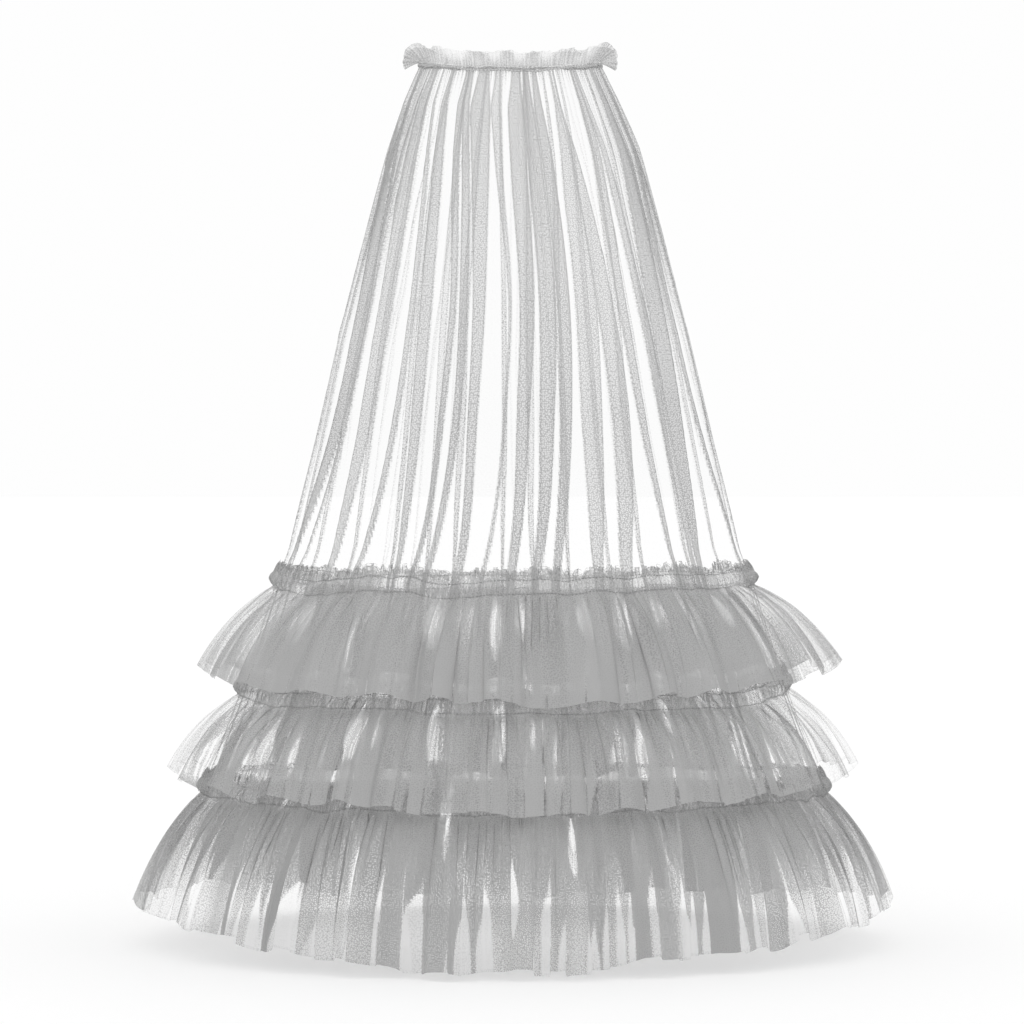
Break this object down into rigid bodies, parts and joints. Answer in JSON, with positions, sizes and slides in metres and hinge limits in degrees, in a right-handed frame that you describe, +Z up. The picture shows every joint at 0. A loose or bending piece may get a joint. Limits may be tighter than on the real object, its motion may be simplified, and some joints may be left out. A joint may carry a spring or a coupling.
{
  "type": "tiered tulle skirt",
  "caption": "Floor-length sheer grey tulle skirt, filled out with no wearer: a gathered panel, a frilled elastic waist and gathered ruffle tiers that flare to an open hem.",
  "frame": {"origin": "centre of the waist seam, the mount waist, where the wearer holds the skirt up", "axes": "+Z up along the skirt's length, front towards -Y, +X towards the right of the front view"},
  "size_m": [0.9246, 0.8158, 1.0772],
  "materials": {
    "panel_tulle": "sheer soft nylon tulle, one gathered layer",
    "ruffle_tulle": "sheer soft nylon tulle, closely gathered",
    "elastic": "knitted elastic under gathered tulle"
  },
  "bodies": {
    "root": {"skirt_front": "panel_tulle", "skirt_back": "panel_tulle", "waist_elastic": "elastic", "waist_frill": "ruffle_tulle", "ruffle_1_front": "ruffle_tulle", "ruffle_1_back": "ruffle_tulle", "ruffle_2_front": "ruffle_tulle", "ruffle_2_back": "ruffle_tulle", "ruffle_3_front": "ruffle_tulle", "ruffle_3_back": "ruffle_tulle"}
  },
  "joints": []
}
